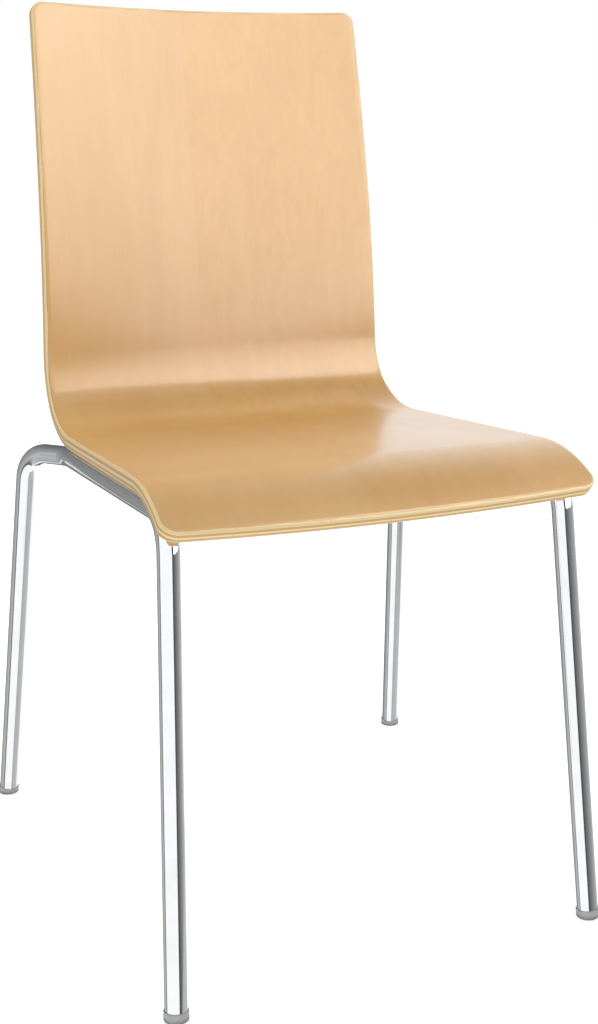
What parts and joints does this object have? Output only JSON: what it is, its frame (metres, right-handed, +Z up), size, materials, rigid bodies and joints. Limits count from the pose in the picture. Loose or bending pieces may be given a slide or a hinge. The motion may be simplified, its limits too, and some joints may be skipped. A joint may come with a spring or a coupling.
{
  "type": "stacking chair",
  "caption": "Stacking chair with a one-piece moulded plywood seat and back on a bent chrome tube frame, for indoor seating.",
  "frame": {"origin": "centre of the chair's footprint box, on the floor", "axes": "+Z up, the sitter faces -Y, X across the chair; X = 0 is the plane of symmetry"},
  "size_m": [0.5086, 0.517, 0.8549],
  "materials": {
    "plywood": "clear satin lacquer over pale veneer, plies showing on the edge",
    "chrome_tube": "bright chrome plate",
    "zinc_steel": "zinc plated",
    "foot_plastic": "translucent grey, satin",
    "rubber_pad": "matte black"
  },
  "bodies": {
    "root": {"plywood_shell": "plywood", "side_frame_left": "chrome_tube", "foot_cap_front_left": "foot_plastic", "foot_cap_rear_left": "foot_plastic", "side_frame_right": "chrome_tube", "foot_cap_front_right": "foot_plastic", "foot_cap_rear_right": "foot_plastic", "cross_tube_front": "chrome_tube", "cross_tube_rear": "chrome_tube", "threaded_insert_front_left": "zinc_steel", "seat_pad_front_left": "rubber_pad", "seat_bracket_front_left": "zinc_steel", "washer_front_left": "zinc_steel", "seat_screw_front_left": "zinc_steel", "threaded_insert_front_right": "zinc_steel", "seat_pad_front_right": "rubber_pad", "seat_bracket_front_right": "zinc_steel", "washer_front_right": "zinc_steel", "seat_screw_front_right": "zinc_steel", "threaded_insert_rear_left": "zinc_steel", "seat_pad_rear_left": "rubber_pad", "seat_bracket_rear_left": "zinc_steel", "washer_rear_left": "zinc_steel", "seat_screw_rear_left": "zinc_steel", "threaded_insert_rear_right": "zinc_steel", "seat_pad_rear_right": "rubber_pad", "seat_bracket_rear_right": "zinc_steel", "washer_rear_right": "zinc_steel", "seat_screw_rear_right": "zinc_steel"}
  },
  "joints": []
}
